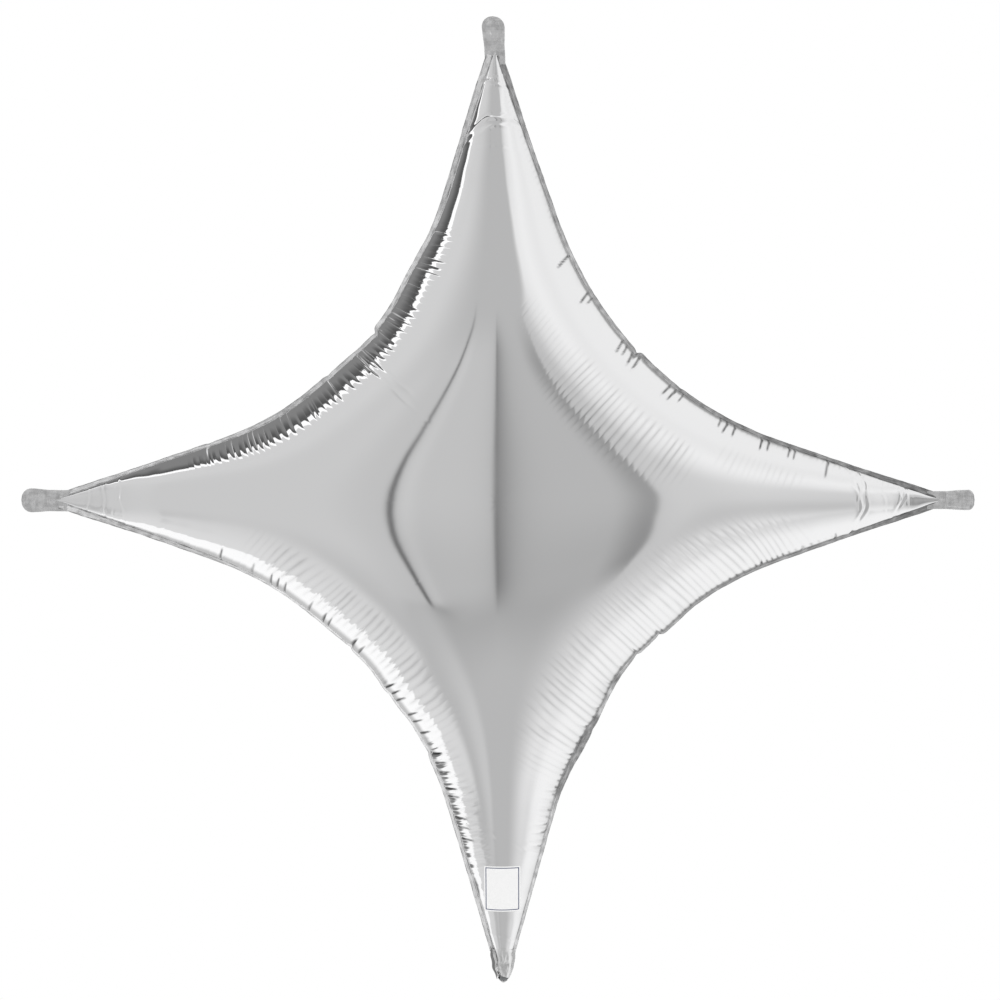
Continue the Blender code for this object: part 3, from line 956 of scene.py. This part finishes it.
class Signal:
    """An output in a node tree. Sums, products and powers of signals make the Math nodes for them."""

    def __init__(self, tree, socket):
        self.tree = tree
        self.socket = socket

    def __add__(self, other):
        return maths("ADD", self, other)

    def __sub__(self, other):
        return maths("SUBTRACT", self, other)

    def __rsub__(self, other):
        return maths("SUBTRACT", other, self)

    def __mul__(self, other):
        return maths("MULTIPLY", self, other)

    def __truediv__(self, other):
        return maths("DIVIDE", self, other)

    def __pow__(self, other):
        return maths("POWER", self, other)

    def __abs__(self):
        return maths("ABSOLUTE", self)


def put(value, socket):
    """Puts a number or a colour on a socket, or links a signal to it."""
    if isinstance(value, Signal):
        value.tree.links.new(value.socket, socket)
    else:
        socket.default_value = value


def noded(tree, kind, output=0, inputs=None, **settings):
    """An output of a new node with these settings and inputs."""
    node = tree.nodes.new(kind)
    for key, value in settings.items():
        setattr(node, key, value)
    for name, value in (inputs or {}).items():
        put(value, node.inputs[name])
    return Signal(tree, node.outputs[output])


def maths(operation, *values):
    """A Math node on numbers and signals, at least one of them a signal."""
    tree = next(value.tree for value in values if isinstance(value, Signal))
    return noded(tree, "ShaderNodeMath", 0, dict(enumerate(values)), operation=operation)


def highest(*values):
    """The highest of some signals."""
    found = values[0]
    for value in values[1:]:
        found = maths("MAXIMUM", found, value)
    return found


def ease(value, low, high, start=0.0, end=1.0):
    """A value that goes smoothly from start to end while the other goes from low to high."""
    inputs = {"Value": value, "From Min": low, "From Max": high, "To Min": start, "To Max": end}
    return noded(value.tree, "ShaderNodeMapRange", "Result", inputs, interpolation_type="SMOOTHSTEP")


def between(mask, off, on):
    """One value where the mask is 0 and the other where it is 1."""
    return noded(mask.tree, "ShaderNodeMix", 0, {0: mask, 2: off, 3: on}, data_type="FLOAT")


def painted(mask, off, on):
    """One colour where the mask is 0 and the other where it is 1."""
    return noded(mask.tree, "ShaderNodeMix", 2, {0: mask, 6: off, 7: on}, data_type="RGBA")


def bell(value, middle, half):
    """1 at the middle, falling to nothing a few half widths away."""
    off = (value - middle) / half
    return maths("EXPONENT", off * off * -1.0)


def cloud(vector, scale, detail=2.0, kind="3D"):
    """Soft noise."""
    inputs = {"Vector": vector, "Scale": scale, "Detail": detail}
    return noded(vector.tree, "ShaderNodeTexNoise", "Fac", inputs, noise_dimensions=kind)


def parted(vector):
    """The three numbers of a vector."""
    node = noded(vector.tree, "ShaderNodeSeparateXYZ", 0, {0: vector}).socket.node
    return [Signal(vector.tree, socket) for socket in node.outputs]


def grey(tone):
    """The grey colour of this brightness."""
    return noded(tone.tree, "ShaderNodeCombineXYZ", 0, {0: tone, 1: tone, 2: tone})


def bumped(height):
    """The normals of a surface with this relief, in metres."""
    inputs = {"Strength": 1.0, "Distance": 1.0, "Height": height}
    return noded(height.tree, "ShaderNodeBump", "Normal", inputs)


def new_material(name):
    """A new material with a node tree."""
    made = bpy.data.materials.new(name)
    made.use_nodes = True
    return made


def finished(made, values):
    """Puts values on the sockets of a material's shader."""
    shader = made.node_tree.nodes["Principled BSDF"]
    for name, value in values.items():
        put(value, shader.inputs[name])
    return made


def label_mask(spot, inset):
    """1 on the bare label place, drawn in by this much all round."""
    x, y, z = spot
    inside = ease(y, 0.0, -0.001)
    for way, (low_edge, high_edge) in ((x, LABEL_SIDES), (z, LABEL_ENDS)):
        low_edge, high_edge = low_edge + inset, high_edge - inset
        inside = inside * ease(way, low_edge, low_edge + 0.0003) * ease(way, high_edge, high_edge - 0.0003)
    return inside


def foil_material(looks):
    """Mirror film with fine ripples that run up from the seal, painted shade in the valleys of its ripples
    and folds, and the bare white label place.
    """
    made = new_material("mirror_foil")
    tree = made.node_tree
    u, v, _ = parted(noded(tree, "ShaderNodeUVMap", "UV", uv_map="UVMap"))
    drawn = noded(tree, "ShaderNodeCombineXYZ", 0, {0: u * UV_LENGTH, 1: v * UV_REACH * 0.22})
    phase, ripple, groove, crumple, pinch_shade = [
        noded(tree, "ShaderNodeAttribute", "Fac", attribute_name=value) for value in VALUES
    ]
    wave_up = abs(maths("SINE", phase * math.pi))
    patchy = ease(cloud(drawn, 62.0, 1.0, "2D"), 0.36, 0.64, 0.45, 1.2)
    ripples = ripple * patchy * wave_up**0.8 + cloud(drawn, 150.0, 1.5, "2D") * crumple

    spot = noded(tree, "ShaderNodeTexCoord", "Object")
    x, y, z = parted(spot)
    slack = ease(highest(abs(x), abs(z)), 0.440, 0.475) * 0.00018
    skin = cloud(spot, 14.0, 1.0) * 0.00003 + cloud(spot, 55.0, 2.0) * slack
    grain = cloud(spot, 900.0, 2.0) * 0.0000012

    printed = label_mask((x, y, z), 0.0)
    framed = label_mask((x, y, z), LABEL_LINE[0]) - label_mask((x, y, z), LABEL_LINE[1])
    # Painted shade: the foil's colour darkens in the grooves of the ripples and in the pinched valleys of
    # the folds
    valley = (1.0 - wave_up) ** 1.3 * groove * (patchy * 1.3)
    dark = highest(maths("MINIMUM", pinch_shade, 1.0), valley)
    foil_with_painted_shade = painted(dark, (*looks.foil, 1.0), FOLD_SHADE_COLOUR)
    paper = painted(framed, (*looks.ink, 1.0), (*looks.line, 1.0))
    rough = looks.foil_roughness
    haze = ease(cloud(spot, 9.0, 3.0), 0.3, 0.7, rough * 0.85, rough * 1.2)
    values = {
        "Normal": bumped(ripples + skin + grain),
        "Base Color": painted(printed, foil_with_painted_shade, paper),
        "Metallic": between(printed, 1.0, 0.0),
        "Roughness": between(printed, haze, 0.5),
        "Specular IOR Level": 0.1,
    }
    return finished(made, values)


def seal_material(looks, name, crinkling, middle, first, second, outline, mirrors):
    """Duller welded foil with long pressed streaks, dark outlines, small crinkles and a painted reflection
    that can make each side lighter or darker.
    """
    made = new_material(name)
    tree = made.node_tree
    u, v, _ = parted(noded(tree, "ShaderNodeUVMap", "UV", uv_map="UVMap"))
    across = (v - 0.3) / 50.0
    place = u * UV_LENGTH
    spot = noded(tree, "ShaderNodeTexCoord", "Object")
    crinkle = (cloud(spot, 260.0, 2.0) + cloud(spot, 75.0, 3.0) * 2.0) * crinkling
    fine = cloud(spot, 1400.0, 2.0) * 0.00002
    flat = noded(tree, "ShaderNodeCombineXYZ", 0, {0: place * 0.14, 1: across})
    streaks = cloud(flat, 620.0, 2.0, "2D")
    edges = bell(across, 0.0003, 0.0006) + bell(across, 0.0054, 0.0007)
    edges = edges * ease(streaks, 0.30, 0.60, 1.0, 0.45)
    # Painted reflection: the border is made lighter or darker from its first point's side to its second's,
    # as the tilt of each side would mirror the room
    shade = ease(place, middle - 0.18, middle + 0.12, first, second)
    mottle_and_painted_reflection = ease(cloud(spot, 90.0, 3.0), 0.35, 0.65, 0.80, 1.10) * shade
    mottle_and_painted_reflection = mottle_and_painted_reflection * ease(streaks, 0.35, 0.65, 0.80, 1.10)
    tone = maths("MINIMUM", mottle_and_painted_reflection * (1.0 - edges * outline), 1.0)
    tint = {0: 1.0, 6: (*looks.seal, 1.0), 7: grey(tone)}
    values = {
        "Normal": bumped(crinkle + (fine + streaks * 0.00012)),
        "Base Color": noded(tree, "ShaderNodeMix", 2, tint, data_type="RGBA", blend_type="MULTIPLY"),
        "Metallic": mirrors,
        "Roughness": ease(cloud(spot, 70.0, 2.0), 0.35, 0.65, 0.22, 0.36),
    }
    return finished(made, values)


def tail_material(name, shade):
    """Foil that is crumpled by hand more and more down the tail."""
    made = new_material(name)
    spot = noded(made.node_tree, "ShaderNodeTexCoord", "Object")
    stretch = {"Scale": (1.0, 1.0, 0.35), "Vector": spot}
    creases = cloud(noded(spot.tree, "ShaderNodeMapping", 0, stretch), 300.0, 2.0) * 0.0007
    fine = cloud(spot, 1100.0, 2.0) * 0.00002
    values = {
        "Normal": bumped((creases + fine) * ease(parted(spot)[2], -0.534, -0.548)),
        "Base Color": (shade, shade, shade, 1.0),
        "Metallic": 1.0,
        "Roughness": ease(cloud(spot, 90.0, 2.0), 0.3, 0.7, 0.07, 0.16),
    }
    return finished(made, values)


def lining_material(looks):
    """Film of the filling valve, which is milky and clear, here coloured dark as painted shade for the
    tail's dark mouth.
    """
    made = new_material("valve_film")
    spot = noded(made.node_tree, "ShaderNodeTexCoord", "Object")
    values = {
        "Normal": bumped(cloud(spot, 420.0, 3.0) * 0.0004),
        "Base Color": (*looks.valve_film_shade, 1.0),
        "Roughness": ease(cloud(spot, 200.0, 2.0), 0.3, 0.7, 0.2, 0.36),
    }
    return finished(made, values)


def studio_light(world):
    """Plain pale surroundings, which the mirror film sees as two boards, a floor and soft walls.

    Turn and rise are the angles of a way to the side and up, off is its angle from straight ahead,
    and ring is its angle round the view, all in degrees.
    """
    world.use_nodes = True
    tree = world.node_tree
    tree.nodes.clear()
    x, y, z = parted(noded(tree, "ShaderNodeTexCoord", "Generated"))
    ahead = y * -1.0
    turn = maths("ARCTAN2", x, ahead) * DEGREES
    rise = maths("ARCSINE", z) * DEGREES
    off = maths("ARCCOSINE", ahead) * DEGREES
    ring = maths("ARCTAN2", z, x) * DEGREES + 360.0

    # The walls to the left and to the right, with a soft lamp high on the right
    high = ease(rise, 34, 46)
    above = ease(turn, -80, -20, 0.815, 0.716)
    left = ease(turn, -28, -44, 0.755, 0.785) + ease(off, 60, 105, 0.0, 0.04)
    left = left - ease(rise, -18, -46, 0.0, ease(turn, -68, -54, -0.03, 0.06))
    right = ease(turn, 26, 46, 0.74, 0.80) + ease(off, 46, 74, 0.0, 0.09) + ease(off, 74, 104, 0.0, 0.03)
    right = right - ease(rise, 6, -30, 0.0, ease(turn, 66, 48, -0.03, 0.035))
    right = right - bell(rise, -12.0, 12.0) * ease(turn, 44, 54, 0.0, 0.05)
    lamp = ease(rise, 16, 32) * ease(off, 46, 57, 0.0, 0.045)
    right = right + lamp * ease(off, 92, 68)
    walls = between(ease(turn, -4, 4), between(high, left, above), right)

    # The two boards in front, darker towards the slit between them, and the stripe left of them
    glow = maths("EXPONENT", turn / -3.0) * 0.20
    right_edge = 37.6 - ease(rise, 10, 36, 0.0, 10.2) - ease(rise, 2, 14, 0.0, 2.2)
    right_edge = right_edge + ease(rise, 44, 52, 0.0, 15.0) + ease(rise, -6, -30, 0.0, 4.0)
    right_board = 0.712 - glow - ease(right_edge - turn, 12, 0, 0.0, 0.125)
    fade = maths("EXPONENT", turn / 3.0) * 0.045
    left_edge = rise * 0.085 - 24.4 - ease(rise, 42, 54, 0.0, 9.0)
    left_board = 0.757 - maths("MINIMUM", fade, 0.06) + bell(turn, left_edge + 4.0, 2.2) * 0.024
    boards = between(ease(turn, -1.4, -0.6), left_board, right_board) - ease(rise, 2, -18, 0.0, 0.035)
    right_soft = (ease(rise, 44, 51, -1.4, -8.0), ease(rise, 44, 51, 0.6, 5.0))
    board_mask = ease(turn - left_edge, -0.4, 0.4) * ease(right_edge - turn, *right_soft)
    front = between(board_mask * ease(rise, 88, 80), walls, between(high, boards, above))
    stripe = bell(turn, left_edge, ease(rise, 0, 24, 0.85, 0.60)) * ease(rise, 47.5, 40)
    front = between(stripe, front, 0.34)

    # The floor, which rises in the view to either side, with a thin shade along its edge
    slant = abs(turn) * ease(turn, -2, 2, -0.30, -0.16)
    floor_line = highest(slant, -24.0) - 20.5 - ease(turn, -36, -58, 0.0, 4.5)
    below = floor_line - rise
    floor = ease(below, 0, 20, 0.655, 0.718) + ease(turn, 16, 68, 0.0, 0.175)
    edge_shade = bell(below, 0.6, 1.6) * (ease(turn, -31, -23) * ease(turn, -8, -20))
    floor = floor - edge_shade * 0.045 + ease(turn, -22, -34, 0.0, 0.055)
    soft = ease(turn, -23, -14, 1.0, 5.0) + ease(turn, -36, -56, 0.0, 3.5)
    front = between(ease(below / soft, -0.8, 1.2) * ease(off, 92, 70), front, floor)

    # The dark curtain beyond the upper left, with its lit edge, and bright walls past both its ends
    upper_left = ease(z, 0.04, 0.10) * ease(x, -0.02, -0.10)
    shoulders = highest(bell(ring, 479.0, 6.0), bell(ring, 512.0, 5.0))
    curtain = ease(rise, 42, 54, -121.5, -106.0) - turn + shoulders * 7.0
    lit_edge = ease(curtain - ease(ring, 508, 518, 0.0, -5.0), -13.0, -10.0) * upper_left
    front = between(lit_edge * ease(off, 84, 92), front, 1.04)
    curtain_tone = ease(curtain, 0, 34, 0.31, 0.50) + ease(ring, 516, 520, 0.0, 0.30)
    front = between(ease(curtain, -1.2, 1.2) * upper_left, front, curtain_tone)
    past_ends = highest(bell(ring, 535.0, 8.0), bell(ring, 455.0, 8.0))
    front = between(past_ends * ease(off, 84, 96), front, 1.05)

    # The bright scalloped panel beyond the lower left
    panel_edge = bell(ring, 228.0, 7.0) * 7.0 + 104.0 + maths("SINE", ring * 0.62) * 3.0
    panel_edge = panel_edge - ease(ring, 243, 250, 0.0, 26.0)
    panel = ease(off - panel_edge, -0.6, 1.8) * ease(z, -0.02, -0.08) * ease(x, 0.02, -0.10)
    panel_end = ease(ring, 200, 218, 114.0, 138.0) - ease(ring, 228, 244, 0.0, 10.0)
    fall = ease(off - panel_end, 0, 18, 0.99, ease(ring, 204, 222, 0.48, 0.76))
    front = between(panel, front, fall)

    # Dark gaps behind: to the sides, low down and high up
    gap_start = ease(off, 102, 112)
    side_gap = bell(z, 0.02, ease(x, -0.1, 0.1, 0.10, 0.17)) * gap_start
    low_gap = bell(x, 0.0, 0.13) * gap_start * ease(z, -0.2, -0.4)
    top_gap = bell(x, 0.10, 0.13) * gap_start * ease(z, 0.2, 0.4)
    front = between(highest(side_gap, low_gap, top_gap), front, 0.34)
    front = between(ease(off, 150, 162) * ease(x, -0.05, 0.05), front, 0.60)

    # The tones above are those of the picture, so they are turned into light
    light = ((front + 0.055) / 1.055) ** 2.4 * 1.07
    seen = noded(tree, "ShaderNodeLightPath", "Is Camera Ray")
    lit = noded(tree, "ShaderNodeLightPath", "Is Diffuse Ray")
    light = between(highest(seen, lit), light, 1.0)
    background = noded(tree, "ShaderNodeBackground", 0, {"Color": (1.0, 1.0, 1.0, 1.0), "Strength": light})
    put(background, tree.nodes.new("ShaderNodeOutputWorld").inputs["Surface"])


class BALLOON_OT_studio(bpy.types.Operator):
    """Sets up the camera, the pale floor and the studio that the film mirrors"""

    bl_idname = "balloon.studio"
    bl_label = "Studio"

    def execute(self, context):
        setup = context.scene.balloon_studio
        world = bpy.data.worlds.new("studio")
        context.scene.world = world
        studio_light(world)
        context.scene.view_settings.view_transform = "Standard"

        bm = bmesh.new()
        bmesh.ops.create_circle(bm, cap_ends=True, segments=96, radius=setup.floor_radius)
        bmesh.ops.translate(bm, verts=bm.verts, vec=Vector((0, 0, -setup.floor_drop)))
        mesh = bpy.data.meshes.new("floor")
        bm.to_mesh(mesh)
        bm.free()
        paper = new_material("pale_floor")
        spot = noded(paper.node_tree, "ShaderNodeTexCoord", "Object")
        tone = ease(cloud(spot, 3.0, 2.0), 0.3, 0.7, 0.90, 0.93)
        mesh.materials.append(finished(paper, {"Base Color": grey(tone), "Roughness": 0.9}))
        floor = bpy.data.objects.new("floor", mesh)
        context.scene.collection.objects.link(floor)
        floor.visible_glossy = False

        lens = bpy.data.cameras.new("camera")
        lens.lens = setup.lens
        lens.sensor_width = 36.0
        camera = bpy.data.objects.new("camera", lens)
        camera.location = (setup.camera_aside, -setup.camera_distance, setup.camera_aside)
        camera.rotation_euler = (math.radians(90), setup.roll, 0)
        context.scene.collection.objects.link(camera)
        context.scene.camera = camera
        return {"FINISHED"}


STEPS = (BALLOON_OT_studio, BALLOON_OT_film, BALLOON_OT_seals, BALLOON_OT_tabs, BALLOON_OT_tail)


class BALLOON_PT_panel(bpy.types.Panel):
    """Lists the steps that make the balloon"""

    bl_idname = "BALLOON_PT_panel"
    bl_label = "Star Balloon"
    bl_space_type = "VIEW_3D"
    bl_region_type = "UI"
    bl_category = "Star Balloon"

    def draw(self, context):
        for step in STEPS:
            self.layout.operator(step.bl_idname)
        for group_name in GROUPS:
            group = getattr(context.scene, group_name)
            box = self.layout.box()
            for name in group.__annotations__:
                box.prop(group, name)


GROUPS = {
    "balloon_shape": BalloonShape,
    "balloon_finish": BalloonFinish,
    "balloon_studio": BalloonStudio,
}


def register():
    for made in (*GROUPS.values(), *STEPS, BALLOON_PT_panel):
        bpy.utils.register_class(made)
    for name, group in GROUPS.items():
        setattr(bpy.types.Scene, name, bpy.props.PointerProperty(type=group))


def unregister():
    for name in GROUPS:
        delattr(bpy.types.Scene, name)
    for made in (BALLOON_PT_panel, *reversed(STEPS), *GROUPS.values()):
        bpy.utils.unregister_class(made)


def main():
    register()
    bpy.ops.balloon.studio()
    bpy.ops.balloon.film()
    bpy.ops.balloon.seals()
    bpy.ops.balloon.tabs()
    bpy.ops.balloon.tail()


if __name__ == "__main__":
    main()
